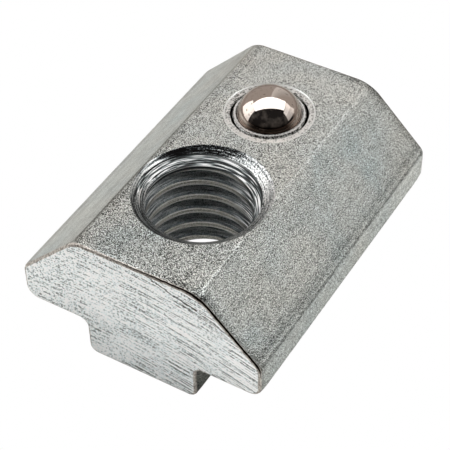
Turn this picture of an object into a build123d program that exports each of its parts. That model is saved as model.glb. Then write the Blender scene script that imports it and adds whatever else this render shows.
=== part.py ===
"""T slot nut with a spring ball: a short piece of drawn steel bar with an M8 hole.

The nut slides into the T slot of an aluminium profile. Its neck stands in the slot's mouth,
its two shoulders clamp against the slot's lips from inside, and the ball, pushed out by a
spring in a blind bore, presses on the slot's floor so that the nut stays where it is put.

All sizes are millimetres. The nut lies as it rests on a bench: neck down, ball up.
+X runs across the bar, +Y along it, +Z up. The origin is the middle of the footprint.
"""
from build123d import *

import os
from math import radians, sqrt, tan

# --- Drawn bar -------------------------------------------------------------------------
NUT_LENGTH = 22.0
FLANGE_WIDTH = 17.0
NUT_HEIGHT = 9.5             # neck's bottom to top face
NECK_WIDTH = 7.9             # runs in a slot mouth of 8.2
NECK_HEIGHT = 2.8
WALL_HEIGHT = 2.55           # upright side of the flange
BEVEL_ANGLE = 45.0           # slope of the two long bevels, from level
NECK_CORNER_RADIUS = 0.5
NECK_ROOT_RADIUS = 0.35
SHOULDER_CORNER_RADIUS = 0.65
WALL_CORNER_RADIUS = 0.4
TOP_CORNER_RADIUS = 0.35
END_EDGE_RADIUS = 0.25       # cropped ends, tumbled before plating

# --- Threaded hole, M8 x 1.25 ----------------------------------------------------------
THREAD_FROM_END = 7.35       # hole axis, from the end that the ball is far from
THREAD_MINOR_DIAMETER = 6.8  # wall at the thread's crests; the grooves are left out
TOP_SINK_DIAMETER = 8.76
TOP_SINK_ANGLE = 105.0       # included angle
LEAD_IN_DIAMETER = 11.0      # sink on the neck side, where the screw enters
LEAD_IN_ANGLE = 90.0

# --- Ball, its bore and the staked ring ------------------------------------------------
BALL_FROM_END = 5.95         # ball axis, from the other end
BALL_DIAMETER = 4.366        # 11/64 inch bearing ball
BALL_SINK = 0.43             # ball centre below the top face
BORE_CLEARANCE = 0.03        # between ball and bore, on the radius
SEAT_CLEARANCE = 0.015       # between ball and lip, on the radius
BORE_DEPTH = 7.3
SEAT_START = 0.12            # height above the ball centre where the lip begins
STAKE_DIAMETER = 5.98        # ring left by the staking punch
STAKE_DEPTH = 0.07
CREASE_DIAMETER = 4.96       # crease between the punched ring and the lip
CREASE_WIDTH = 0.12
CREASE_DEPTH = 0.24
LIP_TOP_WIDTH = 0.2          # level top of the lip, out from its inner edge
LIP_TOP_DEPTH = 0.01         # lip top below the top face

# --- Spring ----------------------------------------------------------------------------
WIRE_DIAMETER = 0.4
SPRING_DIAMETER = 3.4        # mean diameter of the coils
SPRING_TURNS = 6.0
SPRING_CLEARANCE = 0.01      # at its seat and under the ball

# --- Places worked out from the sizes above --------------------------------------------
BEVEL_HEIGHT = NUT_HEIGHT - NECK_HEIGHT - WALL_HEIGHT
TOP_WIDTH = FLANGE_WIDTH - 2 * BEVEL_HEIGHT / tan(radians(BEVEL_ANGLE))
THREAD_Y = THREAD_FROM_END - NUT_LENGTH / 2
BALL_Y = NUT_LENGTH / 2 - BALL_FROM_END
BALL_RADIUS = BALL_DIAMETER / 2
BALL_Z = NUT_HEIGHT - BALL_SINK
BORE_FLOOR_Z = NUT_HEIGHT - BORE_DEPTH
CUT_MARGIN = 1.0             # how far cutting shapes reach past the surface they open


def bar_section():
    """Cross-section of the drawn bar, on the XZ plane, with every corner rounded."""
    corners = [
        (NECK_WIDTH / 2, 0, NECK_CORNER_RADIUS),
        (NECK_WIDTH / 2, NECK_HEIGHT, NECK_ROOT_RADIUS),
        (FLANGE_WIDTH / 2, NECK_HEIGHT, SHOULDER_CORNER_RADIUS),
        (FLANGE_WIDTH / 2, NECK_HEIGHT + WALL_HEIGHT, WALL_CORNER_RADIUS),
        (TOP_WIDTH / 2, NUT_HEIGHT, TOP_CORNER_RADIUS),
    ]
    right = [(x, z) for x, z, _ in corners]
    left = [(-x, z) for x, z in reversed(right)]
    section = Polygon(*right, *left, align=None)
    for x, z, radius in corners:
        for side in (x, -x):
            corner = section.vertices().sort_by_distance((side, z, 0))[0]
            section = fillet(corner, radius)
    return Plane.XZ * section


def bar_blank():
    """Length of bar with the edges of both ends broken."""
    blank = extrude(bar_section(), NUT_LENGTH / 2, both=True)
    ends = blank.faces().sort_by(Axis.Y)
    return fillet(ends[0].edges() + ends[-1].edges(), END_EDGE_RADIUS)


def sink_depth(wide, narrow, angle):
    """Depth of a conical sink between two diameters."""
    return (wide - narrow) / 2 / tan(radians(angle / 2))


def thread_cut():
    """Through hole at the thread's minor diameter, sunk on both sides."""
    radius = THREAD_MINOR_DIAMETER / 2
    top_depth = sink_depth(TOP_SINK_DIAMETER, THREAD_MINOR_DIAMETER, TOP_SINK_ANGLE)
    lead_depth = sink_depth(LEAD_IN_DIAMETER, THREAD_MINOR_DIAMETER, LEAD_IN_ANGLE)
    top_margin_radius = CUT_MARGIN * tan(radians(TOP_SINK_ANGLE / 2))
    lead_margin_radius = CUT_MARGIN * tan(radians(LEAD_IN_ANGLE / 2))
    outline = Polygon(
        (0, -CUT_MARGIN),
        (LEAD_IN_DIAMETER / 2 + lead_margin_radius, -CUT_MARGIN),
        (radius, lead_depth),
        (radius, NUT_HEIGHT - top_depth),
        (TOP_SINK_DIAMETER / 2 + top_margin_radius, NUT_HEIGHT + CUT_MARGIN),
        (0, NUT_HEIGHT + CUT_MARGIN),
        align=None,
    )
    return Pos(0, THREAD_Y, 0) * revolve(Plane.XZ * outline, Axis.Z)


def ball_cut():
    """Blind bore for ball and spring, with the staked lip that keeps the ball in."""
    bore_radius = BALL_RADIUS + BORE_CLEARANCE
    seat_radius = BALL_RADIUS + SEAT_CLEARANCE
    lip_z = NUT_HEIGHT - LIP_TOP_DEPTH
    lip_radius = sqrt(seat_radius ** 2 - (lip_z - BALL_Z) ** 2)
    seat_start_radius = sqrt(seat_radius ** 2 - SEAT_START ** 2)
    seat_middle_height = (SEAT_START + lip_z - BALL_Z) / 2
    seat_middle_radius = sqrt(seat_radius ** 2 - seat_middle_height ** 2)
    stake_z = NUT_HEIGHT - STAKE_DEPTH
    crease_z = NUT_HEIGHT - CREASE_DEPTH
    crease_outer = (CREASE_DIAMETER + CREASE_WIDTH) / 2
    outline = Polyline(
        (lip_radius, lip_z),
        (lip_radius + LIP_TOP_WIDTH, lip_z),
        (CREASE_DIAMETER / 2, crease_z),
        (crease_outer, stake_z),
        (STAKE_DIAMETER / 2, stake_z),
        (STAKE_DIAMETER / 2, NUT_HEIGHT + CUT_MARGIN),
        (0, NUT_HEIGHT + CUT_MARGIN),
        (0, BORE_FLOOR_Z),
        (bore_radius, BORE_FLOOR_Z),
        (bore_radius, BALL_Z),
        (seat_start_radius, BALL_Z + SEAT_START),
    )
    seat = ThreePointArc(
        (seat_start_radius, BALL_Z + SEAT_START),
        (seat_middle_radius, BALL_Z + seat_middle_height),
        (lip_radius, lip_z),
    )
    section = make_face(outline.edges() + seat.edges())
    return Pos(0, BALL_Y, 0) * revolve(Plane.XZ * section, Axis.Z)


def nut_body():
    return bar_blank() - thread_cut() - ball_cut()


def ball():
    return Pos(0, BALL_Y, BALL_Z) * Sphere(BALL_RADIUS)


def spring():
    """Compression spring with ground ends: its top coil nests under the ball."""
    inner_radius = (SPRING_DIAMETER - WIRE_DIAMETER) / 2
    foot_z = BORE_FLOOR_Z + SPRING_CLEARANCE
    nest_z = BALL_Z - sqrt(BALL_RADIUS ** 2 - inner_radius ** 2)
    head_z = nest_z - SPRING_CLEARANCE
    length = head_z - foot_z
    pitch = length / SPRING_TURNS
    path = Helix(pitch, length, SPRING_DIAMETER / 2)
    wire = Plane(origin=path @ 0, z_dir=path % 0) * Circle(WIRE_DIAMETER / 2)
    coil = sweep(wire, path, is_frenet=True)
    trim = Cylinder(SPRING_DIAMETER, length, align=(Align.CENTER, Align.CENTER, Align.MIN))
    return Pos(0, BALL_Y, foot_z) * (coil & trim)


PIECES = {"nut_body": nut_body, "ball": ball, "spring": spring}

os.makedirs("parts", exist_ok=True)
for name, make in PIECES.items():
    solid = make()
    export_step(solid, f"parts/{name}.step")
    print(name, "volume", round(solid.volume, 2), "mm3")
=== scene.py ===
# %% [markdown]
# # T slot nut with a spring ball
# A T slot nut slides in the groove of an aluminium profile. This one is a short piece of drawn
# steel bar, cropped to length, drilled, tapped M8 and zinc plated. A bearing ball sits in a
# staked hole beside the thread, and a spring under it pushes it out, so the nut grips the slot.
# The frame holds its solids: the nut body, the ball and the spring. The ball has its true shape
# and only needs a finish. The nut body is modelled again here, because the thread's helical
# grooves and the rounded edges of a cropped end are not in the solid, and so is the spring.

# %% Load the frame
from math import cos, pi, radians, sin, sqrt, tan

import bmesh
import bpy
from mathutils import Matrix, Vector


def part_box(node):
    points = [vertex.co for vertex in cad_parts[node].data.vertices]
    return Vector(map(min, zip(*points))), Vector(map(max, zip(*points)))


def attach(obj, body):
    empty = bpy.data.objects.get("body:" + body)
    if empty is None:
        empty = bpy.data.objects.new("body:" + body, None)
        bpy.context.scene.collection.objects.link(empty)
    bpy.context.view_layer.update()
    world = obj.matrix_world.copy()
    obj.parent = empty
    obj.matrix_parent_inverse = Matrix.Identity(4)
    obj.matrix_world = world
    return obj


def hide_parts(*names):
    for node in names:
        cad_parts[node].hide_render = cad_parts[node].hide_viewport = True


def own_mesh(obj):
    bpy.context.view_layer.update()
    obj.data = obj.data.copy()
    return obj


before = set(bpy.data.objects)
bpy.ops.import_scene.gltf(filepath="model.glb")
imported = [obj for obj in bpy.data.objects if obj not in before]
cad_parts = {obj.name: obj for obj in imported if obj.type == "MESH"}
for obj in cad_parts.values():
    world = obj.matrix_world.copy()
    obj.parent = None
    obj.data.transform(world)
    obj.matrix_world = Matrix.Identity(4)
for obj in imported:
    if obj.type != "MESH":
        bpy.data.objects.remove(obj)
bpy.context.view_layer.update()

MM = 0.001
SAME_PLACE = 0.001 * MM      # points closer than this count as one
SMOOTH_ANGLE = 30.0          # degrees, flatter edges are shaded smooth
NUT_LOW, NUT_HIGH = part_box("nut_body")
BALL_LOW, BALL_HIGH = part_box("ball")
HALF_LENGTH = NUT_HIGH.y
HALF_WIDTH = NUT_HIGH.x
TOP_Z = NUT_HIGH.z
BALL_RADIUS = (BALL_HIGH.z - BALL_LOW.z) / 2
BALL_CENTRE = (BALL_LOW + BALL_HIGH) / 2
print("nut body in mm:", [round(side / MM, 2) for side in NUT_HIGH - NUT_LOW])
print("ball diameter in mm:", round(2 * BALL_RADIUS / MM, 3))

# %% [markdown]
# Blender keeps colours as linear values, while colour cards and pickers give sRGB, so one
# function turns the hex values used below to linear. A second one adds a node, sets its options,
# fills its inputs with values or links and gives the output that the next node needs, so that a
# material reads as a short recipe. A third one ends such a recipe: it gives the shader its colour
# and its bumps. All patterns are laid out in millimetres on the object: a noise of scale
# 1 / 0.15 then has specks about 0.15 mm wide, wherever the object stands.

# %% Colour and node helpers


def linear(hex_colour):
    """An sRGB hex colour as linear RGBA."""
    values = [int(hex_colour[i:i + 2], 16) / 255 for i in (1, 3, 5)]
    return [v / 12.92 if v <= 0.04045 else ((v + 0.055) / 1.055) ** 2.4 for v in values] + [1.0]


def add(tree, kind, inputs=None, output=0, stops=(), **options):
    """Adds a node with its options, inputs and ramp stops. Gives one output, or a slice of them."""
    node = tree.nodes.new(kind)
    for name, value in options.items():
        setattr(node, name, value)
    for key, value in (inputs or {}).items():
        if isinstance(value, bpy.types.NodeSocket):
            tree.links.new(value, node.inputs[key])
        else:
            node.inputs[key].default_value = value
    for i, (position, tone) in enumerate(stops):
        element = node.color_ramp.elements[i] if i < 2 else node.color_ramp.elements.new(position)
        element.position = position
        element.color = linear(tone) if isinstance(tone, str) else (tone, tone, tone, 1.0)
    return node.outputs[output]


def new_material(name, metallic=1.0, roughness=0.4):
    """A material with its node tree and its Principled shader."""
    material = bpy.data.materials.new(name)
    material.use_nodes = True
    shader = material.node_tree.nodes["Principled BSDF"]
    shader.inputs["Metallic"].default_value = metallic
    shader.inputs["Roughness"].default_value = roughness
    return material, material.node_tree, shader


def finish_shader(tree, shader, colour, height=None, relief=0.0, strength=0.5):
    """Gives the shader its colour and, where there is a height, bumps of a relief in metres."""
    tree.links.new(colour, shader.inputs["Base Color"])
    if height is not None:
        bumps = add(
            tree, "ShaderNodeBump", {"Strength": strength, "Distance": relief, "Height": height},
            output="Normal",
        )
        tree.links.new(bumps, shader.inputs["Normal"])


def millimetres(tree):
    """The place on the object in millimetres."""
    place = add(tree, "ShaderNodeTexCoord", output="Object")
    return add(tree, "ShaderNodeVectorMath", {0: place, "Scale": 1 / MM}, operation="SCALE")


# %% [markdown]
# The bar's section is the same all along, so it is drawn as a flat face: the neck at the bottom,
# the shoulders that clamp in the slot, the upright walls and two 45 degree bevels. Drawn bar has
# crisp but not sharp corners, and a bevel of the face's corner points rounds them.
# A crop shears the bar off, and near the cut the metal is dragged round: the corners of the end
# are much rounder than those of the bar. So the section is drawn again at a few places along the
# nut, rounder towards the ends, and bridged. Every section has as many points as the next, so
# the bridge joins them one to one. Plating and handling leave no edge sharp, so an even bevel
# breaks the edge of each end. The blank is told apart in three finishes here, because later no
# face can be picked by hand: the drawn sides, the parted ends and the worn edge between them.

# %% Bar section
NECK_HALF = 3.95 * MM
NECK_HEIGHT = 2.8 * MM
WALL_TOP = NECK_HEIGHT + 2.55 * MM
TOP_HALF = HALF_WIDTH - (TOP_Z - WALL_TOP)
CORNER_SEGMENTS = 8
CORNERS = [
    # x, z, corner radius of the bar, of the cropped end at the right, and at the left
    (NECK_HALF, 0.0, 0.5 * MM, 0.6 * MM, 0.6 * MM),
    (NECK_HALF, NECK_HEIGHT, 0.35 * MM, 0.6 * MM, 0.6 * MM),
    (HALF_WIDTH, NECK_HEIGHT, 0.55 * MM, 0.8 * MM, 0.9 * MM),
    (HALF_WIDTH, WALL_TOP, 0.4 * MM, 0.8 * MM, 0.9 * MM),
    (TOP_HALF, TOP_Z, 0.3 * MM, 2.6 * MM, 1.6 * MM),
]


def bar_section(bm, y, end_share):
    """A flat face at y, with rounded corners: those of the bar (0), of the end (1) or between."""
    right = [(Vector((x, y, z)), bar + (end - bar) * end_share) for x, z, bar, end, _ in CORNERS]
    left = [(Vector((-x, y, z)), bar + (end - bar) * end_share) for x, z, bar, _, end in CORNERS]
    outline = right + left[::-1]
    verts = [bm.verts.new(p) for p, _ in outline]
    bm.faces.new(verts)
    for i, vert in enumerate(verts):
        before, corner, after = (outline[j % len(outline)][0] for j in (i - 1, i, i + 1))
        turn = (corner - before).angle(after - corner)
        bmesh.ops.bevel(
            bm, geom=[vert], offset=outline[i][1] * tan(turn / 2), offset_type="OFFSET",
            segments=CORNER_SEGMENTS, profile=0.5, affect="VERTICES", material=-1,
        )


def edges_at(bm, y):
    """The edges that lie in the section at y."""
    return [edge for edge in bm.edges if all(abs(v.co.y - y) < SAME_PLACE for v in edge.verts)]


def new_object(name, bm, smooth_angle=SMOOTH_ANGLE):
    """Makes a bmesh an object, with edges flatter than the angle shaded smooth."""
    mesh = bpy.data.meshes.new(name)
    bm.to_mesh(mesh)
    bm.free()
    for polygon in mesh.polygons:
        polygon.use_smooth = True
    mesh.set_sharp_from_angle(angle=radians(smooth_angle))
    piece = bpy.data.objects.new(name, mesh)
    bpy.context.scene.collection.objects.link(piece)
    return piece


# %% Bar blank
END_REACH = 1.05 * MM
END_STEPS = 3
EDGE_BREAK = 0.16 * MM
EDGE_SEGMENTS = 3
DRAWN, PARTED, BROKEN = range(3)

rear = []
for step in range(END_STEPS + 1):
    part = step / END_STEPS
    rear.append((HALF_LENGTH - END_REACH * (1 - part), part ** 2))
places = [(-y, share) for y, share in reversed(rear)] + rear

bm = bmesh.new()
for y, share in places:
    bar_section(bm, y, share)
sections = bm.faces[:]
loops = [edges_at(bm, y) for y, _ in places]
for first, second in zip(loops, loops[1:]):
    bmesh.ops.bridge_loops(bm, edges=first + second)
bmesh.ops.delete(bm, geom=sections[1:-1], context="FACES_ONLY")
bmesh.ops.recalc_face_normals(bm, faces=bm.faces[:])
caps = [face for face in bm.faces if len(face.verts) > 4]
for face in bm.faces:
    face.material_index = PARTED if face in caps else DRAWN
cap_edges = [edge for cap in caps for edge in cap.edges]
broken = bmesh.ops.bevel(
    bm, geom=cap_edges, offset=EDGE_BREAK, offset_type="OFFSET",
    segments=EDGE_SEGMENTS, profile=0.5, affect="EDGES", material=-1,
)
for face in broken["faces"]:
    face.material_index = BROKEN
print("blank closed:", all(edge.is_manifold for edge in bm.edges), "faces:", len(bm.faces))
blank = new_object("nut_blank", bm)

# %% [markdown]
# The bar is cold drawn steel with a thin coat of zinc, passivated in the bluish clear that most
# fasteners have. The rolled top is grainy: the zinc fills the pits of the steel only partly, so
# it is covered with dark and light specks less than a tenth of a millimetre wide. The drawing
# die has left faint lines along the left bevel and the walls. One material does both: a noise
# gives the specks, and a ramp over the width of the nut says how strong they are. The specks have
# a colour as well as a height, because height alone would need one hard lamp to be seen, so their
# colour is partly the grain and partly painted glints. The ramp paints them weak on the left bevel
# and the left wall, which reflect an even light, and strong on the top and the right bevel. Two
# more ramps, over the width and the height, paint lines along the edges: at each edge of the top
# a light line of painted highlight and a dark line of painted shade, and at the bevels' lower
# edges a dark line and then a light one. The top is lighter towards the rear end, and the right
# corner of each end is painted darker, a painted shade that dims the highlight its rounding
# catches.

# %% Pattern helpers
OVER_WIDTH = {"From Min": -HALF_WIDTH / MM, "From Max": HALF_WIDTH / MM}


def noise(tree, place, size, detail=2.0, roughness=0.6):
    """Noise about zero, with lumps of a size in millimetres, or of a size for each axis."""
    sizes = size if isinstance(size, tuple) else (size, size, size)
    scaled = add(
        tree, "ShaderNodeVectorMath", {0: place, 1: [1 / side for side in sizes]},
        operation="MULTIPLY",
    )
    lumps = add(
        tree, "ShaderNodeTexNoise",
        {"Vector": scaled, "Scale": 1.0, "Detail": detail, "Roughness": roughness},
    )
    return add(tree, "ShaderNodeMath", {0: lumps, 1: 0.5}, operation="SUBTRACT")


def total(tree, start, *terms):
    """Adds up (socket, weight) pairs, from a start value."""
    level = start
    for socket, weight in terms:
        level = add(
            tree, "ShaderNodeMath", {0: socket, 1: weight, 2: level}, operation="MULTIPLY_ADD"
        )
    return level


def across_nut(x):
    """Where a place x mm from the nut's middle lies on a ramp over the nut's width."""
    return 0.5 + x * MM / (2 * HALF_WIDTH)


def up_nut(z):
    """Where a place z mm above the neck's bottom lies on a ramp over the nut's height."""
    return z * MM / TOP_Z


# %% Painted edge lines and painted shade at the ends
EDGE_TAPER = 0.005           # share by which the marks lie farther in, per mm to the rear
SKIN = 0.1                   # a place this near a face counts as on it
CORNER_SHADE_FROM, CORNER_SHADE_TO = 0.8, 0.2    # in from the end, where the painted shade starts and is full
CLOUD = 4.0


def painted_edge_lines(tree, x, y, z, wander):
    """Painted highlight and shade lines at the top face's two edges, and a dark then a light line
    at the bevels' lower edges.
    """
    widened = add(
        tree, "ShaderNodeMath", {0: y, 1: EDGE_TAPER, 2: 1 + EDGE_TAPER * HALF_LENGTH / MM},
        operation="MULTIPLY_ADD",
    )
    tapered = add(tree, "ShaderNodeMath", {0: x, 1: widened}, operation="MULTIPLY")
    ragged = add(tree, "ShaderNodeMath", {0: wander, 1: 0.5, 2: tapered}, operation="MULTIPLY_ADD")
    across = add(tree, "ShaderNodeMapRange", {"Value": ragged, **OVER_WIDTH})
    top_edges = add(
        tree, "ShaderNodeValToRGB", {"Fac": across},
        stops=[
            (across_nut(-4.32), 0.475), (across_nut(4.62), 0.475), (across_nut(-4.24), 0.53),
            (across_nut(-4.16), 0.45), (across_nut(-4.04), 0.45), (across_nut(-3.97), 0.54),
            (across_nut(4.18), 0.5), (across_nut(4.27), 0.55), (across_nut(4.38), 0.53),
            (across_nut(4.5), 0.44),
        ],
    )
    upwards = add(tree, "ShaderNodeMath", {0: z, 1: TOP_Z / MM}, operation="DIVIDE")
    sides = add(
        tree, "ShaderNodeValToRGB", {"Fac": upwards},
        stops=[
            (up_nut(2.7), 0.5), (up_nut(6.2), 0.5), (up_nut(2.9), 0.5), (up_nut(5.1), 0.5),
            (up_nut(5.25), 0.36), (up_nut(5.38), 0.4), (up_nut(5.47), 0.54), (up_nut(5.62), 0.44),
        ],
    )
    return add(tree, "ShaderNodeMath", {0: top_edges, 1: sides}, operation="ADD")


def painted_shade_at_corners(tree, across, y):
    """How much painted shade a place takes: the right corner of each end is painted darker, to dim
    the highlight that its rounding catches.
    """
    out = add(tree, "ShaderNodeMath", {0: y}, operation="ABSOLUTE")
    at_end = add(
        tree, "ShaderNodeMapRange",
        {"Value": out, "From Min": HALF_LENGTH / MM - CORNER_SHADE_FROM,
         "From Max": HALF_LENGTH / MM - CORNER_SHADE_TO},
    )
    at_right = add(
        tree, "ShaderNodeValToRGB", {"Fac": across},
        stops=[
            (across_nut(1.0), 0.0), (across_nut(6.0), 0.25), (across_nut(3.0), 1.0),
            (across_nut(4.4), 1.0),
        ],
    )
    return add(tree, "ShaderNodeMath", {0: at_end, 1: at_right}, operation="MULTIPLY")


def blue_tint(tree, place, x):
    """The faint blue of the zinc, which comes and goes in clouds and is stronger on the right."""
    clouds = add(tree, "ShaderNodeTexNoise", {"Vector": place, "Scale": 1 / CLOUD, "Detail": 2.0})
    on_right = add(
        tree, "ShaderNodeMath", {0: x, 1: TOP_HALF / MM + SKIN}, operation="GREATER_THAN"
    )
    return add(
        tree, "ShaderNodeValToRGB", {"Fac": total(tree, 0.0, (clouds, 1.0), (on_right, -0.04))},
        stops=[(0.2, "#eefafc"), (0.65, "#fdfefa"), (0.4, "#f7fcfb")],
    )


# %% Zinc on drawn steel
SPECK = 0.06
BLOTCH = 0.7
DRAW_LINE = (0.2, 12.0, 0.2)
EDGE_WANDER = (0.25, 1.2, 0.25)
GRAIN_RELIEF = 0.012 * MM


def drawn_zinc():
    """Rolled and drawn faces: specks, partly painted glints, on the top and the right bevel, drawn
    lines, and painted highlight and shade lines along the edges.
    """
    material, tree, shader = new_material("blue_zinc_on_drawn_steel", roughness=0.4)
    place = millimetres(tree)
    x, y, z = add(tree, "ShaderNodeSeparateXYZ", {0: place}, output=slice(3))
    across = add(tree, "ShaderNodeMapRange", {"Value": x, **OVER_WIDTH})
    # Speck strength over the width, as painted glints: weak on the left bevel and the left wall,
    # which reflect an even light, and strong on the top and the right bevel.
    strength = add(
        tree, "ShaderNodeValToRGB", {"Fac": across},
        stops=[
            (across_nut(-8.4), 0.4), (across_nut(8.45), 1.7), (across_nut(-4.3), 0.5),
            (across_nut(-4.1), 2.7), (across_nut(4.2), 2.7), (across_nut(4.6), 2.1),
            (across_nut(8.2), 1.7),
        ],
    )
    specks = add(
        tree, "ShaderNodeMath", {0: noise(tree, place, SPECK), 1: strength}, operation="MULTIPLY"
    )
    # The top, and faintly the rest, is lighter towards the rear end.
    on_top = add(tree, "ShaderNodeMath", {0: z, 1: TOP_Z / MM - SKIN}, operation="GREATER_THAN")
    top_towards_rear = add(tree, "ShaderNodeMath", {0: y, 1: on_top}, operation="MULTIPLY")
    level = total(
        tree, -0.495, (specks, 1.0), (noise(tree, place, DRAW_LINE), 0.14),
        (noise(tree, place, BLOTCH), 0.13), (y, 0.0012), (top_towards_rear, 0.007),
        (painted_shade_at_corners(tree, across, y), -0.22),
        (painted_edge_lines(tree, x, y, z, noise(tree, place, EDGE_WANDER)), 1.0),
    )
    colour = add(
        tree, "ShaderNodeValToRGB", {"Fac": level},
        stops=[
            (0.28, "#2c2c2b"), (0.7, "#ffffff"), (0.4, "#929492"), (0.5, "#c9ccca"),
            (0.6, "#ecefed"),
        ],
    )
    tinted = add(
        tree, "ShaderNodeMix", {0: 1.0, 6: colour, 7: blue_tint(tree, place, x)}, output=2,
        data_type="RGBA", blend_type="MULTIPLY",
    )
    finish_shader(tree, shader, tinted, specks, GRAIN_RELIEF)
    return material


# %% [markdown]
# The ends show how the nut was parted from the bar. The blade leaves long, slightly curved
# streaks across the face, and the zinc on this fresh, unscaled steel is much brighter than on
# the rolled top. The streaks are noise again, laid out in rings round the blade's centre far
# below the nut: fine across the ring, long round it. They are deepest where the blade left the
# bar, at the right. At the left, where it entered, there are mostly small pits. Above a wavy
# line the metal of the top was rolled over the end. Along the line a thin dark line of painted
# shade stands for the crease, and above it the rolled strip is painted lighter, as a facet
# turned up to the light.
# Many real streaks are finer than this. They would blur to an even grey in the render, so the
# streaks are drawn about a tenth of a millimetre wide.

# %% Zinc on the parted ends
STREAK_WIDTH = 0.095
STREAK_LENGTH = 3.0
BLADE_CENTRE = (-5.0, 0.0, -38.0)
PIT = 0.12
STREAK_RELIEF = 0.012 * MM
LIP_WANDER = 0.6
LIP_LINE_FROM = Vector((0.4, 9.55))
LIP_LINE_TO = Vector((6.4, 7.35))


def blade_streaks(tree, x, y, z):
    """Noise in long streaks round the blade's centre, which lies far below the nut."""
    flat = add(tree, "ShaderNodeCombineXYZ", {"X": x, "Y": 0.0, "Z": z})
    from_blade = add(
        tree, "ShaderNodeVectorMath", {0: flat, 1: BLADE_CENTRE}, operation="SUBTRACT"
    )
    radius = add(tree, "ShaderNodeVectorMath", {0: from_blade}, output="Value", operation="LENGTH")
    side, _, up = add(tree, "ShaderNodeSeparateXYZ", {0: from_blade}, output=slice(3))
    angle = add(tree, "ShaderNodeMath", {0: side, 1: up}, operation="ARCTAN2")
    along = add(tree, "ShaderNodeMath", {0: angle, 1: -BLADE_CENTRE[2]}, operation="MULTIPLY")
    place = add(tree, "ShaderNodeCombineXYZ", {"X": radius, "Y": along, "Z": y})
    return noise(tree, place, (STREAK_WIDTH, STREAK_LENGTH, 1.0), detail=2.5, roughness=0.75)


def over_lip_line(tree, x, z, wander):
    """How far a place lies above the wavy line where the metal was rolled over the end."""
    run = (LIP_LINE_TO - LIP_LINE_FROM).normalized()
    normal = (-run.y, 0.0, run.x)
    flat = add(tree, "ShaderNodeCombineXYZ", {"X": x, "Y": 0.0, "Z": z})
    across = add(
        tree, "ShaderNodeVectorMath", {0: flat, 1: normal}, output="Value", operation="DOT_PRODUCT"
    )
    line_place = -run.y * LIP_LINE_FROM.x + run.x * LIP_LINE_FROM.y
    straight = add(tree, "ShaderNodeMath", {0: across, 1: line_place}, operation="SUBTRACT")
    return add(tree, "ShaderNodeMath", {0: wander, 1: 0.5, 2: straight}, operation="MULTIPLY_ADD")


def parted_zinc():
    """End faces: bright, with dark curved streaks, small pits, and the rolled lip's line of painted
    shade with a lighter painted strip above it.
    """
    material, tree, shader = new_material("blue_zinc_on_parted_steel", roughness=0.45)
    place = millimetres(tree)
    x, y, z = add(tree, "ShaderNodeSeparateXYZ", {0: place}, output=slice(3))
    over = over_lip_line(tree, x, z, noise(tree, place, LIP_WANDER))
    near_line = add(tree, "ShaderNodeMapRange", {"Value": over, "From Min": -0.2, "From Max": 0.2})
    # Along the lip line a thin line of painted shade, and above it a strip painted lighter, as a
    # facet turned up to the light.
    lip_shade_and_light = add(
        tree, "ShaderNodeValToRGB", {"Fac": near_line},
        stops=[(0.3, 0.52), (0.75, 0.58), (0.42, 0.14), (0.55, 0.22)],
    )
    streak_depth = add(
        tree, "ShaderNodeMapRange", {"Value": x, **OVER_WIDTH, "To Min": 0.9, "To Max": 2.5}
    )
    streaks = add(
        tree, "ShaderNodeMath", {0: blade_streaks(tree, x, y, z), 1: streak_depth},
        operation="MULTIPLY",
    )
    pit_depth = add(
        tree, "ShaderNodeMapRange",
        {"Value": x, "From Min": -HALF_WIDTH / MM, "From Max": 0.0, "To Min": 1.6, "To Max": 1.0},
    )
    pits = add(
        tree, "ShaderNodeMath", {0: noise(tree, place, PIT), 1: pit_depth}, operation="MULTIPLY"
    )
    level = total(tree, 0.025, (streaks, 1.0), (pits, 1.0), (lip_shade_and_light, 1.0))
    colour = add(
        tree, "ShaderNodeValToRGB", {"Fac": level},
        stops=[
            (0.28, "#2f2b28"), (0.6, "#ffffff"), (0.37, "#8f8d89"), (0.42, "#d8e3e5"),
            (0.5, "#ebf7fa"),
        ],
    )
    finish_shader(tree, shader, colour, level, STREAK_RELIEF, strength=0.4)
    return material


# %% [markdown]
# The broken edge round each end is the first to be rubbed. It is worn to a warmer grey, and a
# dark line of painted shade, as cast at a sharp edge, runs along its upper part and widens to the
# right.

# %% Worn edge of the ends, with a painted shade line
WEAR = 0.15
SHADE_LINE_WANDER = 0.5


def broken_edge():
    """The edges of the ends: worn grey, with a line of painted shade that widens to the right."""
    material, tree, shader = new_material("worn_zinc_edge_with_shade_line", roughness=0.5)
    place = millimetres(tree)
    x, y, z = add(tree, "ShaderNodeSeparateXYZ", {0: place}, output=slice(3))
    out = add(tree, "ShaderNodeMath", {0: y}, operation="ABSOLUTE")
    ragged = total(tree, 0.0, (out, 1.0), (noise(tree, place, SHADE_LINE_WANDER), 0.08))
    widening = add(
        tree, "ShaderNodeMapRange",
        {"Value": x, "From Min": -5.0, "From Max": 4.0, "To Min": -0.01, "To Max": 0.05},
    )
    high = add(tree, "ShaderNodeMapRange", {"Value": z, "From Min": 4.5, "From Max": 5.5})
    reach = add(tree, "ShaderNodeMath", {0: widening, 1: high}, operation="MULTIPLY")
    # A dark line of painted shade along the upper part of the edge.
    painted_shade_line = add(
        tree, "ShaderNodeMath", {0: ragged, 1: (HALF_LENGTH - EDGE_BREAK / 2) / MM, 2: reach},
        operation="COMPARE",
    )
    steel = add(
        tree, "ShaderNodeValToRGB", {"Fac": total(tree, 0.5, (noise(tree, place, WEAR), 1.0))},
        stops=[(0.3, "#5f5853"), (0.7, "#e9e7e2"), (0.45, "#a8a29b"), (0.55, "#c4bfb8")],
    )
    colour = add(
        tree, "ShaderNodeMix", {0: painted_shade_line, 6: steel, 7: linear("#1d1916")}, output=2,
        data_type="RGBA",
    )
    finish_shader(tree, shader, colour)
    return material


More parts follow.
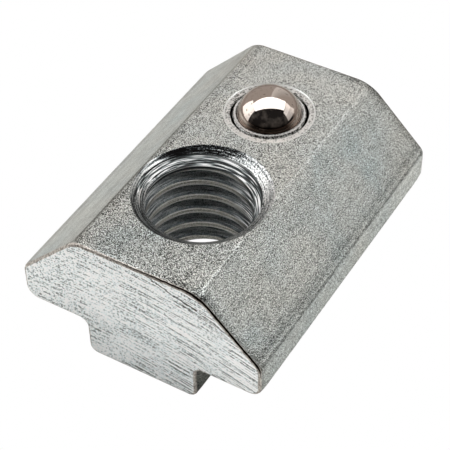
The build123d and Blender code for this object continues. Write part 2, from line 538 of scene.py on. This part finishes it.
# %% [markdown]
# The hole is drilled, countersunk and tapped before plating. Little zinc reaches the deep
# flanks, so they are dark slate, while the crests of the thread and its first turn are rubbed
# bright. Deep in the groove the flanks are painted lighter, to make up for the shade there, and
# both edges of each crest carry a thin painted highlight. A thread climbs as it goes round, so a
# tone that follows it needs a measure that climbs too: the height, less the part of a pitch that
# the angle accounts for, and of that only what is left after whole pitches. It runs from 0 at
# one crest's lower edge to 1 at the next.
# Screws have also rubbed the thread on two opposite sides. Rings left by the tools run round
# the hole: a noise that is fine along the radius and the depth, and long around the axis.

# %% Places round a hole
THREAD_Y = -3.65 * MM
MINOR_RADIUS = 3.4 * MM
PITCH = 1.25 * MM
THREAD_PHASE = 0.365 * MM


def around_axis(tree, place, centre_y):
    """Measures round a vertical axis: the level place from it, the distance and the angle."""
    from_axis = add(
        tree, "ShaderNodeVectorMath",
        {0: place, 1: (1.0, 1.0, 0.0), 2: (0.0, -centre_y / MM, 0.0)}, operation="MULTIPLY_ADD",
    )
    radius = add(tree, "ShaderNodeVectorMath", {0: from_axis}, output="Value", operation="LENGTH")
    side, along, _ = add(tree, "ShaderNodeSeparateXYZ", {0: from_axis}, output=slice(3))
    angle = add(tree, "ShaderNodeMath", {0: along, 1: side}, operation="ARCTAN2")
    return from_axis, radius, angle


def unrolled(tree, radius, angle, z):
    """The place with the hole unrolled, its two halves alike, so that they meet with no seam."""
    half_turn = add(tree, "ShaderNodeMath", {0: angle}, operation="ABSOLUTE")
    return add(tree, "ShaderNodeCombineXYZ", {"X": radius, "Y": z, "Z": half_turn})


def thread_turn(tree, angle, z):
    """Where a place lies between one crest's lower edge (0) and the next one's (1)."""
    risen = add(
        tree, "ShaderNodeMath", {0: angle, 1: -1 / (2 * pi), 2: -THREAD_PHASE / PITCH},
        operation="MULTIPLY_ADD",
    )
    turns = add(tree, "ShaderNodeMath", {0: z, 1: MM / PITCH, 2: risen}, operation="MULTIPLY_ADD")
    return add(tree, "ShaderNodeMath", {0: turns, 1: 1.0}, operation="FLOORED_MODULO")


# %% Tapped steel
THREAD_RING = (0.07, 0.07, 1.2)      # over the radius, over the height, and round in radians
MACHINED_RING = (0.075, 0.075, 4.0)
THREAD_SPECK = 0.08
RING_RELIEF = 0.01 * MM
FIRST_TURN = 1.1 * MM
WORN_SIDE = (0.85, 0.53, 0.0)


def thread_tone(tree, turn, rings, specks, course, weights, tones):
    """A tone that takes its course from one crest to the next, marked with rings and specks."""
    level = add(tree, "ShaderNodeValToRGB", {"Fac": turn}, stops=course)
    marked = total(tree, 0.0, (level, 1.0), (rings, weights[0]), (specks, weights[1]))
    return add(tree, "ShaderNodeValToRGB", {"Fac": marked}, stops=tones)


def rubbed_thread(tree, from_axis, z):
    """Where screws have rubbed the thread: on its first turn and on two opposite sides."""
    top = (TOP_Z - FIRST_TURN) / MM
    first_turn = add(
        tree, "ShaderNodeMapRange", {"Value": z, "From Min": top - 0.05, "From Max": top + 0.05}
    )
    sideways = add(
        tree, "ShaderNodeVectorMath", {0: from_axis, 1: WORN_SIDE}, output="Value",
        operation="DOT_PRODUCT",
    )
    over_hole = add(
        tree, "ShaderNodeMapRange",
        {"Value": sideways, "From Min": -MINOR_RADIUS / MM, "From Max": MINOR_RADIUS / MM},
    )
    sides = add(
        tree, "ShaderNodeValToRGB", {"Fac": over_hole},
        stops=[(0.03, 0.55), (0.95, 0.95), (0.14, 0.0), (0.78, 0.0)],
    )
    return add(tree, "ShaderNodeMath", {0: first_turn, 1: sides}, operation="MAXIMUM")


def tapped_steel():
    """The thread: dark flanks painted lighter deep in the groove, light crests with painted
    highlights on both edges, and bright turned rings on its first turn.
    """
    material, tree, shader = new_material("zinc_on_tapped_steel", metallic=0.3, roughness=0.5)
    place = millimetres(tree)
    z = add(tree, "ShaderNodeSeparateXYZ", {0: place}, output="Z")
    from_axis, radius, angle = around_axis(tree, place, THREAD_Y)
    arc_place = unrolled(tree, radius, angle, z)
    rings = noise(tree, arc_place, THREAD_RING, roughness=0.7)
    specks = noise(tree, place, THREAD_SPECK)
    turn = thread_turn(tree, angle, z)
    # The crest's course paints a thin highlight on both of its edges.
    crest_tone = thread_tone(
        tree, turn, rings, specks, weights=(0.9, 0.5),
        course=[(0.0, 0.76), (0.31, 0.55), (0.08, 0.64), (0.15, 0.54), (0.22, 0.56), (0.28, 0.76)],
        tones=[(0.2, "#20211f"), (0.75, "#ffffff"), (0.45, "#8d8b84"), (0.6, "#dedbd0")],
    )
    # The flank's course is painted lighter deep in the groove, to make up for the shade there.
    flank_tone = thread_tone(
        tree, turn, rings, specks, weights=(0.6, 0.4),
        course=[(0.3, 0.45), (0.58, 0.55), (0.36, 0.56), (0.42, 0.67), (0.49, 0.75), (0.53, 0.74)],
        tones=[(0.3, "#1b1f21"), (0.8, "#eef2f3"), (0.45, "#394043"), (0.6, "#7c8587")],
    )
    machined = noise(tree, arc_place, MACHINED_RING, detail=1.5)
    bright = add(
        tree, "ShaderNodeValToRGB", {"Fac": total(tree, 0.49, (machined, 1.1))},
        stops=[(0.42, "#0f1214"), (0.62, "#ffffff"), (0.49, "#4e5657"), (0.54, "#aab2b2")],
    )
    crest = add(
        tree, "ShaderNodeMapRange",
        {"Value": radius, "From Min": MINOR_RADIUS / MM + 0.01,
         "From Max": MINOR_RADIUS / MM + 0.05, "To Min": 1.0, "To Max": 0.0},
    )
    tone = add(
        tree, "ShaderNodeMix", {0: crest, 6: flank_tone, 7: crest_tone}, output=2,
        data_type="RGBA",
    )
    colour = add(
        tree, "ShaderNodeMix", {0: rubbed_thread(tree, from_axis, z), 6: tone, 7: bright},
        output=2, data_type="RGBA",
    )
    finish_shader(tree, shader, colour, rings, RING_RELIEF)
    return material


# %% [markdown]
# The countersink was not quite on the thread's axis. Its far right side is torn and full of
# bright specks, a dark crescent of painted reflection lies at the far left, where the cone faces
# the camera and mirrors the dark side of the room, the near side is a little darker, and rings
# run round the rest.

# %% Countersunk steel
SINK_RING = (0.055, 0.055, 1.2)
TEAR = 0.11
TORN_SIDE = (0.75, 0.66, 0.0)
DARK_SIDE = (-0.55, 0.84, 0.0)
NEAR_SIDE = (-0.4, -0.92, 0.0)


def sunk_steel():
    """The countersinks: turned rings on one side, torn and full of bright specks on the other."""
    material, tree, shader = new_material("zinc_on_countersunk_steel", roughness=0.4)
    place = millimetres(tree)
    z = add(tree, "ShaderNodeSeparateXYZ", {0: place}, output="Z")
    from_axis, radius, angle = around_axis(tree, place, THREAD_Y)
    rings = noise(tree, unrolled(tree, radius, angle, z), SINK_RING, roughness=0.7)
    towards_torn, towards_dark, towards_near = (
        add(
            tree, "ShaderNodeVectorMath", {0: from_axis, 1: way}, output="Value",
            operation="DOT_PRODUCT",
        )
        for way in (TORN_SIDE, DARK_SIDE, NEAR_SIDE)
    )
    torn_side = add(
        tree, "ShaderNodeMapRange",
        {"Value": towards_torn, "From Min": 0.3, "From Max": 2.3, "To Min": 0.3, "To Max": 1.0},
    )
    # A dark crescent of painted reflection on the cone's far side, which faces the camera.
    far_side_reflection = add(
        tree, "ShaderNodeMapRange", {"Value": towards_dark, "From Min": 3.25, "From Max": 3.8}
    )
    near_side = add(
        tree, "ShaderNodeMapRange", {"Value": towards_near, "From Min": 2.8, "From Max": 3.6}
    )
    tears = noise(tree, place, TEAR, detail=3.0, roughness=0.7)
    torn = add(tree, "ShaderNodeMath", {0: tears, 1: torn_side}, operation="MULTIPLY")
    level = total(
        tree, 0.515, (torn, 1.1), (rings, 0.85), (torn_side, 0.03), (far_side_reflection, -0.18),
        (near_side, -0.07),
    )
    colour = add(
        tree, "ShaderNodeValToRGB", {"Fac": level},
        stops=[(0.4, "#131212"), (0.64, "#ffffff"), (0.48, "#6b7072"), (0.55, "#c6cdcd")],
    )
    finish_shader(tree, shader, colour, level, RING_RELIEF)
    return material


# %% [markdown]
# A hollow punch presses a ring round the ball and drives a thin lip of steel over it. The
# punched ring is smoother than the bar's top and a little lighter, and painted lighter still on
# the side towards the camera. A thin painted highlight runs along its outer edge and along the
# lip's edge, and the crease between ring and lip is painted black, as the shade in it. Its width
# follows a measure towards the camera: wide at the sides, narrow at the near side and closed at
# the far side.

# %% Staked steel
PUNCH_GRAIN = 0.12
LIP_RING = (0.06, 0.06, 1.5)
STAKE_RADIUS = 2.99 * MM
CREASE_RADIUS = 2.48 * MM
CREASE_WANDER = 0.5
SEAT_EDGE_RADIUS = 2.27 * MM
TOWARD_CAMERA_SIDE = (0.53, -0.85, 0.0)


def crease_line(tree, place, radius, toward_camera_mm):
    """Where the crease is painted as a black line of shade: its width follows the side facing the
    camera.
    """
    camera_facing = add(tree, "ShaderNodeMapRange", {"Value": toward_camera_mm, "From Min": -2.5, "From Max": 2.5})
    reach = add(
        tree, "ShaderNodeValToRGB", {"Fac": camera_facing},
        stops=[(0.2, 0.0), (1.0, 0.035), (0.4, 0.075), (0.68, 0.085), (0.8, 0.03)],
    )
    ragged = total(tree, 0.0, (radius, 1.0), (noise(tree, place, CREASE_WANDER), 0.1))
    return add(
        tree, "ShaderNodeMath", {0: ragged, 1: CREASE_RADIUS / MM, 2: reach}, operation="COMPARE"
    )


def staked_steel():
    """The punched ring with painted highlights on its rim and the lip's edge, the crease painted
    black as shade, and the lip.
    """
    material, tree, shader = new_material("zinc_on_staked_steel", roughness=0.42)
    place = millimetres(tree)
    z = add(tree, "ShaderNodeSeparateXYZ", {0: place}, output="Z")
    from_axis, radius, angle = around_axis(tree, place, BALL_CENTRE.y)
    lip_rings = noise(tree, unrolled(tree, radius, angle, z), LIP_RING)
    on_lip = add(tree, "ShaderNodeMath", {0: radius, 1: CREASE_RADIUS / MM}, operation="LESS_THAN")
    lip_level = add(tree, "ShaderNodeMath", {0: lip_rings, 1: on_lip}, operation="MULTIPLY")
    toward_camera_mm = add(
        tree, "ShaderNodeVectorMath", {0: from_axis, 1: TOWARD_CAMERA_SIDE}, output="Value",
        operation="DOT_PRODUCT",
    )
    # The ring is painted a little lighter on the side towards the camera.
    level = total(
        tree, 0.55, (noise(tree, place, PUNCH_GRAIN), 1.5), (lip_level, 1.2), (on_lip, -0.17),
        (toward_camera_mm, 0.03),
    )
    steel = add(
        tree, "ShaderNodeValToRGB", {"Fac": level},
        stops=[(0.26, "#3b3936"), (0.64, "#fdfdfb"), (0.36, "#85827e"), (0.46, "#d8dcda")],
    )
    # Two pale rings are painted highlights: on the punched ring's outer step and on the lip's edge
    # by the ball.
    rim, seat_edge = (
        add(tree, "ShaderNodeMath", {0: radius, 1: middle, 2: half_width}, operation="COMPARE")
        for middle, half_width in ((STAKE_RADIUS / MM - 0.03, 0.07), (SEAT_EDGE_RADIUS / MM, 0.04))
    )
    pale = add(tree, "ShaderNodeMath", {0: rim, 1: seat_edge}, operation="MAXIMUM")
    rimmed = add(
        tree, "ShaderNodeMix", {0: pale, 6: steel, 7: linear("#fbfdfc")}, output=2,
        data_type="RGBA",
    )
    crease = crease_line(tree, place, radius, toward_camera_mm)
    colour = add(
        tree, "ShaderNodeMix", {0: crease, 6: rimmed, 7: linear("#141210")}, output=2,
        data_type="RGBA",
    )
    finish_shader(tree, shader, colour, level, RING_RELIEF)
    return material


# %% Body materials
BODY_MATERIALS = [drawn_zinc(), parted_zinc(), broken_edge()]
TAPPED = tapped_steel()
SUNK = sunk_steel()
STAKED = staked_steel()
for material in BODY_MATERIALS:
    blank.data.materials.append(material)
print("finishes on the blank:", [material.name for material in BODY_MATERIALS])
print("finishes of the cuts:", [material.name for material in (TAPPED, SUNK, STAKED)])

# %% [markdown]
# The thread is cut by a tap, a tool with the thread's own shape. Its solid is made the way the
# thread is defined: one zigzag line down the tool's side is turned once round the axis while it
# rises by one pitch, so that the end of the turn meets its own start one tooth further on.
# The M8 thread is a little wider than the neck it passes through. To keep the neck's thin wall
# whole, the teeth are a tenth of a millimetre lower there.

# %% Tap
MAJOR_RADIUS = 4.0 * MM
NECK_MAJOR_RADIUS = 3.9 * MM
THREAD_STEPS = 96
TURNS_BELOW, TURNS_ABOVE = 2, 3      # of the tap, past the nut's bottom and top
CREST_FLAT = 0.37 * MM
FLANK = (MAJOR_RADIUS - MINOR_RADIUS) * tan(radians(30.0))
ROOT_FLAT = PITCH - CREST_FLAT - 2 * FLANK


def tap_solid():
    """A threaded rod, right-handed, long enough to pass through the nut."""
    bm = bmesh.new()
    turns = TURNS_BELOW + round(TOP_Z / PITCH) + TURNS_ABOVE
    z = THREAD_PHASE - TURNS_BELOW * PITCH
    line = [bm.verts.new((MINOR_RADIUS, 0, z))]
    for _ in range(turns):
        for radius, rise in (
            (MINOR_RADIUS, CREST_FLAT), (MAJOR_RADIUS, FLANK),
            (MAJOR_RADIUS, ROOT_FLAT), (MINOR_RADIUS, FLANK),
        ):
            z += rise
            line.append(bm.verts.new((radius, 0, z)))
    edges = [bm.edges.new(pair) for pair in zip(line, line[1:])]
    bmesh.ops.spin(
        bm, geom=line + edges, cent=(0, 0, 0), axis=(0, 0, 1), dvec=(0, 0, PITCH / THREAD_STEPS),
        angle=2 * pi, steps=THREAD_STEPS, use_merge=False,
    )
    bmesh.ops.remove_doubles(bm, verts=bm.verts[:], dist=SAME_PLACE)
    for top in (False, True):
        open_edges = [
            e for e in bm.edges if e.is_boundary and (e.verts[0].co.z > TOP_Z / 2) == top
        ]
        heights = [v.co.z for e in open_edges for v in e.verts]
        tip = bm.verts.new((0, 0, sum(heights) / len(heights)))
        for edge in open_edges:
            bm.faces.new((edge.verts[0], edge.verts[1], tip))
    for vert in bm.verts:
        if vert.co.z < NECK_HEIGHT and vert.co.xy.length > NECK_MAJOR_RADIUS:
            vert.co.xy = vert.co.xy.normalized() * NECK_MAJOR_RADIUS
    bmesh.ops.recalc_face_normals(bm, faces=bm.faces[:])
    bmesh.ops.translate(bm, vec=(0, THREAD_Y, 0), verts=bm.verts[:])
    print("tap closed:", all(edge.is_manifold for edge in bm.edges), "faces:", len(bm.faces))
    return new_object("tap", bm)


# %% [markdown]
# The sinks, the ball's bore and its staked seat are all round, so each tool that cuts them is a
# half outline turned once round its axis. The top sink's axis lies a fifth of a millimetre
# beside the thread's, as the torn side and the dark crescent tell.

# %% Turned tools
TURN_STEPS = 128


def turned_solid(name, outline, axis):
    """A solid turned round a vertical axis at (x, y) from its (radius, height) outline."""
    bm = bmesh.new()
    line = [bm.verts.new((radius, 0, z)) for radius, z in outline]
    edges = [bm.edges.new(pair) for pair in zip(line, line[1:])]
    bmesh.ops.spin(
        bm, geom=line + edges, cent=(0, 0, 0), axis=(0, 0, 1), dvec=(0, 0, 0),
        angle=2 * pi, steps=TURN_STEPS, use_merge=True,
    )
    bmesh.ops.remove_doubles(bm, verts=bm.verts[:], dist=SAME_PLACE)
    bmesh.ops.recalc_face_normals(bm, faces=bm.faces[:])
    bmesh.ops.translate(bm, vec=axis.to_3d(), verts=bm.verts[:])
    print(name, "closed:", all(edge.is_manifold for edge in bm.edges))
    return new_object(name, bm)


# %% Sink tools
MARGIN = 1.0 * MM
TOP_SINK_RADIUS = 4.43 * MM
TOP_SINK_AXIS = Vector((0.16 * MM, THREAD_Y + 0.13 * MM))
THREAD_AXIS = Vector((0.0, THREAD_Y))
TOP_SINK_ANGLE = radians(105.0)
LEAD_IN_RADIUS = 5.5 * MM
LEAD_IN_ANGLE = radians(90.0)


def sink_solid(name, axis, mouth_radius, angle, z, outwards):
    """A cone with its mouth at height z that opens upwards (1) or downwards (-1)."""
    depth = mouth_radius / tan(angle / 2)
    mouth = (mouth_radius + MARGIN * tan(angle / 2), z + outwards * MARGIN)
    return turned_solid(name, [(0, z - outwards * depth), mouth, (0, z + outwards * MARGIN)], axis)


# %% Ball seat tool
BORE_CLEARANCE = 0.03 * MM
SEAT_CLEARANCE = 0.015 * MM
SEAT_START = 0.12 * MM
SEAT_STEPS = 6
BORE_DEPTH = 7.3 * MM
STAKE_DEPTH = 0.07 * MM
CREASE_WIDTH = 0.12 * MM
CREASE_DEPTH = 0.24 * MM
LIP_TOP_WIDTH = 0.2 * MM
LIP_TOP_DEPTH = 0.01 * MM


def seat_solid():
    """The space that drill, ball and staking punch leave in the nut."""
    bore_radius = BALL_RADIUS + BORE_CLEARANCE
    seat_radius = BALL_RADIUS + SEAT_CLEARANCE
    floor_z = TOP_Z - BORE_DEPTH
    lip_rise = TOP_Z - LIP_TOP_DEPTH - BALL_CENTRE.z
    rise_step = (lip_rise - SEAT_START) / SEAT_STEPS
    rises = [SEAT_START + i * rise_step for i in range(SEAT_STEPS + 1)]
    seat = [(sqrt(seat_radius ** 2 - rise ** 2), BALL_CENTRE.z + rise) for rise in rises]
    outline = [(0, floor_z), (bore_radius, floor_z), (bore_radius, BALL_CENTRE.z)]
    outline += seat
    outline += [
        (seat[-1][0] + LIP_TOP_WIDTH, TOP_Z - LIP_TOP_DEPTH),
        (CREASE_RADIUS, TOP_Z - CREASE_DEPTH),
        (CREASE_RADIUS + CREASE_WIDTH / 2, TOP_Z - STAKE_DEPTH),
        (STAKE_RADIUS, TOP_Z - STAKE_DEPTH),
        (STAKE_RADIUS, TOP_Z + MARGIN),
        (0, TOP_Z + MARGIN),
    ]
    return turned_solid("seat_cut", outline, BALL_CENTRE.xy)


# %% [markdown]
# Each tool takes its shape out of the blank. The cut surface takes the tool's material, so the
# thread, the sinks and the staked ring get their own finish without choosing faces one by one.

# %% Cuts


def cut(body, tool, material):
    """Takes a closed solid out of the body, gives the cut its material and deletes the tool."""
    tool.data.materials.append(material)
    boolean = body.modifiers.new(tool.name, "BOOLEAN")
    boolean.operation = "DIFFERENCE"
    boolean.solver = "EXACT"
    boolean.material_mode = "TRANSFER"
    boolean.object = tool
    depsgraph = bpy.context.evaluated_depsgraph_get()
    mesh = bpy.data.meshes.new_from_object(body.evaluated_get(depsgraph))
    body.modifiers.clear()
    old = body.data
    body.data = mesh
    bpy.data.meshes.remove(old)
    bpy.data.objects.remove(tool)


body = blank
cut(body, tap_solid(), TAPPED)
cut(body, sink_solid("top_sink", TOP_SINK_AXIS, TOP_SINK_RADIUS, TOP_SINK_ANGLE, TOP_Z, 1), SUNK)
cut(body, sink_solid("lead_in", THREAD_AXIS, LEAD_IN_RADIUS, LEAD_IN_ANGLE, 0.0, -1), SUNK)
cut(body, seat_solid(), STAKED)
body.data.set_sharp_from_angle(angle=radians(SMOOTH_ANGLE))
body.name = "nut_with_thread"
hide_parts("nut_body")
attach(body, "nut")
print("body polygons:", len(body.data.polygons))
print("materials:", [material.name for material in body.data.materials])

# %% [markdown]
# The ball is a bearing ball of polished chrome steel, harder and much smoother than the nut, so
# it mirrors the whole room. Chrome steel reflects a little warmer than zinc, and small rubbed marks
# break the mirror. Just above the lip a brown band is painted on as the reflection of the nut's
# top round it, and low on the side towards the camera it is painted nearly black, as the
# reflection of the dark top of the nut in front of it.

# %% Ball
MARK = 0.25
LIP_TINT_HEIGHT = 0.9
DARK_REFLECTION_HEIGHT = 0.4
BALL_CAMERA_SIDE = (0.53, -0.85, 0.0)


def painted_lip_reflection(tree, place):
    """The painted reflection: brown near the lip, clear higher up and nearly black on the side
    towards the camera.
    """
    z = add(tree, "ShaderNodeSeparateXYZ", {0: place}, output="Z")
    over_lip = add(
        tree, "ShaderNodeMapRange",
        {"Value": z, "From Min": TOP_Z / MM, "From Max": TOP_Z / MM + LIP_TINT_HEIGHT},
    )
    reflection_tint = add(
        tree, "ShaderNodeValToRGB", {"Fac": over_lip}, stops=[(0.1, "#8f8178"), (1.0, "#ffffff")]
    )
    dark_reflection_top = TOP_Z / MM + DARK_REFLECTION_HEIGHT
    low = add(
        tree, "ShaderNodeMapRange", {"Value": z, "From Min": dark_reflection_top + 0.1, "From Max": dark_reflection_top}
    )
    from_axis, _, _ = around_axis(tree, place, BALL_CENTRE.y)
    towards_ball_camera_side = add(
        tree, "ShaderNodeVectorMath", {0: from_axis, 1: BALL_CAMERA_SIDE}, output="Value",
        operation="DOT_PRODUCT",
    )
    on_side = add(
        tree, "ShaderNodeMapRange", {"Value": towards_ball_camera_side, "From Min": 1.4, "From Max": 1.75}
    )
    ball_dark_reflection = add(tree, "ShaderNodeMath", {0: low, 1: on_side}, operation="MULTIPLY")
    return add(
        tree, "ShaderNodeMix", {0: ball_dark_reflection, 6: reflection_tint, 7: linear("#544b46")}, output=2,
        data_type="RGBA",
    )


def polished_steel():
    """Mirror-bright chrome steel with a few tiny marks, and a painted reflection near the lip."""
    material, tree, shader = new_material("polished_chrome_steel", roughness=0.06)
    place = millimetres(tree)
    marks = add(
        tree, "ShaderNodeTexNoise",
        {"Vector": place, "Scale": 1 / MARK, "Detail": 4.0, "Roughness": 0.7},
    )
    steel = add(
        tree, "ShaderNodeValToRGB", {"Fac": marks}, stops=[(0.3, "#948a81"), (0.42, "#dbd0c7")]
    )
    colour = add(
        tree, "ShaderNodeMix", {0: 1.0, 6: steel, 7: painted_lip_reflection(tree, place)}, output=2,
        data_type="RGBA", blend_type="MULTIPLY",
    )
    finish_shader(tree, shader, colour)
    return material


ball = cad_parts["ball"]
ball.data.materials.clear()
ball.data.materials.append(polished_steel())
print("ball's finish:", ball.data.materials[0].name)

# %% [markdown]
# The spring is drawn wire coiled on a mandrel, with both ends ground level. A circle as wide as
# the wire is turned six times round the axis while it rises, which gives the coils, and a cut at
# each end, closed with a face, stands for the grinding. The marks of the drawing die are really
# finer than a tenth of a millimetre and would not show, so they are drawn as wide as that.

# %% Spring
WIRE_RADIUS = 0.2 * MM
COIL_RADIUS = 1.7 * MM
SPRING_TURNS = 6
COIL_STEPS = 40
WIRE_SEGMENTS = 16
DRAW_MARK = 0.1
SPRING_LOW, SPRING_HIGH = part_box("spring")
SPRING_LENGTH = SPRING_HIGH.z - SPRING_LOW.z


def spring_steel():
    """Drawn wire, with the fine light and dark marks of the drawing die."""
    material, tree, shader = new_material("drawn_spring_wire", roughness=0.3)
    marks = add(
        tree, "ShaderNodeTexNoise",
        {"Vector": millimetres(tree), "Scale": 1 / DRAW_MARK, "Detail": 2.0},
    )
    colour = add(
        tree, "ShaderNodeValToRGB", {"Fac": marks}, stops=[(0.35, "#6e6b67"), (0.65, "#a8a49e")]
    )
    finish_shader(tree, shader, colour)
    return material


def fill_open_edges(bm):
    """Closes every open loop of edges with one face."""
    bmesh.ops.holes_fill(bm, edges=[edge for edge in bm.edges if edge.is_boundary], sides=0)


def coil_spring():
    """The wire turned round the axis while it rises, with its ends cut level."""
    bm = bmesh.new()
    bmesh.ops.create_circle(bm, segments=WIRE_SEGMENTS, radius=WIRE_RADIUS)
    bmesh.ops.rotate(bm, verts=bm.verts[:], matrix=Matrix.Rotation(pi / 2, 3, "X"))
    bmesh.ops.translate(bm, verts=bm.verts[:], vec=(COIL_RADIUS, 0, SPRING_LOW.z))
    steps = SPRING_TURNS * COIL_STEPS
    bmesh.ops.spin(
        bm, geom=bm.verts[:] + bm.edges[:], cent=(0, 0, 0), axis=(0, 0, 1),
        dvec=(0, 0, SPRING_LENGTH / steps), angle=2 * pi * SPRING_TURNS, steps=steps,
        use_merge=False,
    )
    fill_open_edges(bm)
    for z, outwards in ((SPRING_LOW.z, -1), (SPRING_HIGH.z, 1)):
        bmesh.ops.bisect_plane(
            bm, geom=bm.verts[:] + bm.edges[:] + bm.faces[:], plane_co=(0, 0, z),
            plane_no=(0, 0, outwards), clear_outer=True,
        )
        fill_open_edges(bm)
    bmesh.ops.recalc_face_normals(bm, faces=bm.faces[:])
    bmesh.ops.translate(bm, verts=bm.verts[:], vec=(0, BALL_CENTRE.y, 0))
    print("spring closed:", all(edge.is_manifold for edge in bm.edges), "faces:", len(bm.faces))
    return new_object("spring_coil", bm, smooth_angle=40.0)


spring = coil_spring()
spring.data.materials.append(spring_steel())
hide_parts("spring")
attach(spring, "nut")
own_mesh(spring)

# %% [markdown]
# The camera looks down on the thread end from the front right, from close by with a long lens.

# %% Camera
AZIMUTH = radians(31.80)
ELEVATION = radians(44.83)
ROLL = radians(-1.48)
DISTANCE = 98.3 * MM
LENS = 120.76
AIM = Vector((0, 0, 4.0 * MM))
AIM_RIGHT = -0.39 * MM
AIM_UP = -0.27 * MM

away = Vector((-sin(AZIMUTH), cos(AZIMUTH), 0.0))
level_right = Vector((cos(AZIMUTH), sin(AZIMUTH), 0.0))
back = -away * cos(ELEVATION) + Vector((0, 0, sin(ELEVATION)))
level_up = back.cross(level_right)
right = cos(ROLL) * level_right + sin(ROLL) * level_up
up = cos(ROLL) * level_up - sin(ROLL) * level_right
camera = bpy.data.objects.new("camera", bpy.data.cameras.new("camera"))
bpy.context.scene.collection.objects.link(camera)
camera.data.sensor_width = 36.0
camera.data.lens = LENS
camera.data.clip_start = 0.001
camera.data.clip_end = 10.0
spot = AIM + back * DISTANCE + right * AIM_RIGHT + up * AIM_UP
camera.matrix_world = Matrix.Translation(spot) @ Matrix((right, up, back)).transposed().to_4x4()
bpy.context.scene.camera = camera
print("camera in mm:", [round(part / MM, 1) for part in spot])

# %% [markdown]
# A mirror ball shows the studio, so the studio is built like a real one. A long soft box hangs
# overhead from left to right, a second stands at the left, and two weaker ones, one above the
# other, stand at the right. One more, high above, lights only what is matt, mainly the floor:
# no mirror shows it. The wall behind is a warm grey with a lighter panel. The camera's side
# stays dark, which gives the ball its black spot and darkens the surfaces that face it; a coarse
# noise stands for the things in that dark part of the room.

# %% Soft boxes
HALF_SPAN = 0.38             # from the nut to the boxes at its sides
DOWN = Vector((0, 0, -1))
BOXES = [
    # name, place to the right, away and up in metres, facing, run, its size along and across,
    # and its radiance
    ("overhead_box", (0.0, 0.022, 0.33), DOWN, level_right, (2 * HALF_SPAN, 0.25), 2.0),
    ("left_box", (-HALF_SPAN, 0.1, 0.16), level_right, away, (0.35, 0.34), 1.35),
    ("right_high_box", (HALF_SPAN, -0.02, 0.25), -level_right, away, (0.3, 0.13), 0.95),
    ("right_low_box", (HALF_SPAN, -0.02, 0.12), -level_right, away, (0.3, 0.13), 0.6),
    ("floor_box", (0.0, 0.0, 0.6), DOWN, level_right, (0.3, 0.3), 1.5),
]


def soft_box(name, centre, facing, along, size, radiance):
    """A rectangular lamp: its size along one direction and across, and its radiance."""
    lamp = bpy.data.lights.new(name, "AREA")
    lamp.shape = "RECTANGLE"
    lamp.size, lamp.size_y = size
    lamp.energy = radiance * pi * size[0] * size[1]
    holder = bpy.data.objects.new(name, lamp)
    bpy.context.scene.collection.objects.link(holder)
    turned = Matrix((along, facing.cross(along), -facing)).transposed().to_4x4()
    holder.matrix_world = Matrix.Translation(centre) @ turned
    print(name, "power in watts:", round(lamp.energy, 2))
    return holder


for name, (to_right, to_back, height), facing, along, size, radiance in BOXES:
    centre = level_right * to_right + away * to_back + Vector((0, 0, height))
    box = soft_box(name, centre, facing, along, size, radiance)
    box.visible_glossy = name != "floor_box"

# %% Room
ROOM_BACK = "#aaa29d"
PANEL = "#bbb7b4"
PANEL_EDGE = "#dad6d3"
ROOM_FRONT = "#232222"
ROOM_THINGS = "#5c5a58"
THINGS = 0.5                 # size of the noise over the unit sphere of directions

world = bpy.data.worlds.new("studio")
bpy.context.scene.world = world
world.use_nodes = True
tree = world.node_tree
direction = add(tree, "ShaderNodeTexCoord", output="Generated")
depth, sideways = (
    add(
        tree, "ShaderNodeVectorMath", {0: direction, 1: way}, output="Value",
        operation="DOT_PRODUCT",
    )
    for way in (away, level_right)
)
wall = add(tree, "ShaderNodeMapRange", {"Value": depth, "From Min": -0.1, "From Max": 0.15})
bearing = add(tree, "ShaderNodeMath", {0: sideways, 1: depth}, operation="DIVIDE")
panels = add(
    tree, "ShaderNodeValToRGB", {"Fac": bearing},
    stops=[
        (0.0, ROOM_BACK), (1.0, ROOM_BACK), (0.2, ROOM_BACK), (0.23, PANEL_EDGE), (0.6, PANEL)
    ],
)
things = add(
    tree, "ShaderNodeValToRGB", {"Fac": total(tree, 0.5, (noise(tree, direction, THINGS), 1.0))},
    stops=[(0.45, ROOM_FRONT), (0.75, ROOM_THINGS)],
)
tone = add(tree, "ShaderNodeMix", {0: wall, 6: things, 7: panels}, output=2, data_type="RGBA")
tree.links.new(tone, tree.nodes["Background"].inputs["Color"])
print("nodes of the room:", len(tree.nodes))

# %% [markdown]
# The floor is so bright that the picture shows it as pure white, without a shadow. To the nut it
# is an ordinary sheet of white paper on a grey table, lit by the soft boxes: a mirror ball would
# show a white floor without end as a bright line all round its edge.

# %% Floor
FLOOR_REACH = 1.0            # in metres, the sheet's sizes in millimetres
SHEET_REACH = 42.0
SHEET_FADE = 8.0

bm = bmesh.new()
bmesh.ops.create_grid(bm, x_segments=1, y_segments=1, size=FLOOR_REACH)
floor = new_object("floor", bm)
paper, tree, shader = new_material("white_paper", metallic=0.0, roughness=0.9)
reach = add(
    tree, "ShaderNodeVectorMath", {0: millimetres(tree)}, output="Value", operation="LENGTH"
)
off_sheet = add(
    tree, "ShaderNodeMapRange",
    {"Value": reach, "From Min": SHEET_REACH, "From Max": SHEET_REACH + SHEET_FADE},
)
sheet = add(
    tree, "ShaderNodeMix", {0: off_sheet, 6: linear("#f4f4f2"), 7: linear("#9a918b")}, output=2,
    data_type="RGBA",
)
tree.links.new(sheet, shader.inputs["Base Color"])
glow = add(tree, "ShaderNodeEmission", {"Color": (1.0, 1.0, 1.0, 1.0), "Strength": 1.0})
seen = add(tree, "ShaderNodeLightPath", output="Is Camera Ray")
shown = add(tree, "ShaderNodeMixShader", {0: seen, 1: shader.outputs["BSDF"], 2: glow})
tree.links.new(shown, tree.nodes["Material Output"].inputs["Surface"])
floor.data.materials.append(paper)
print("floor in metres, across:", 2 * FLOOR_REACH)
bpy.context.scene.view_settings.view_transform = "Standard"
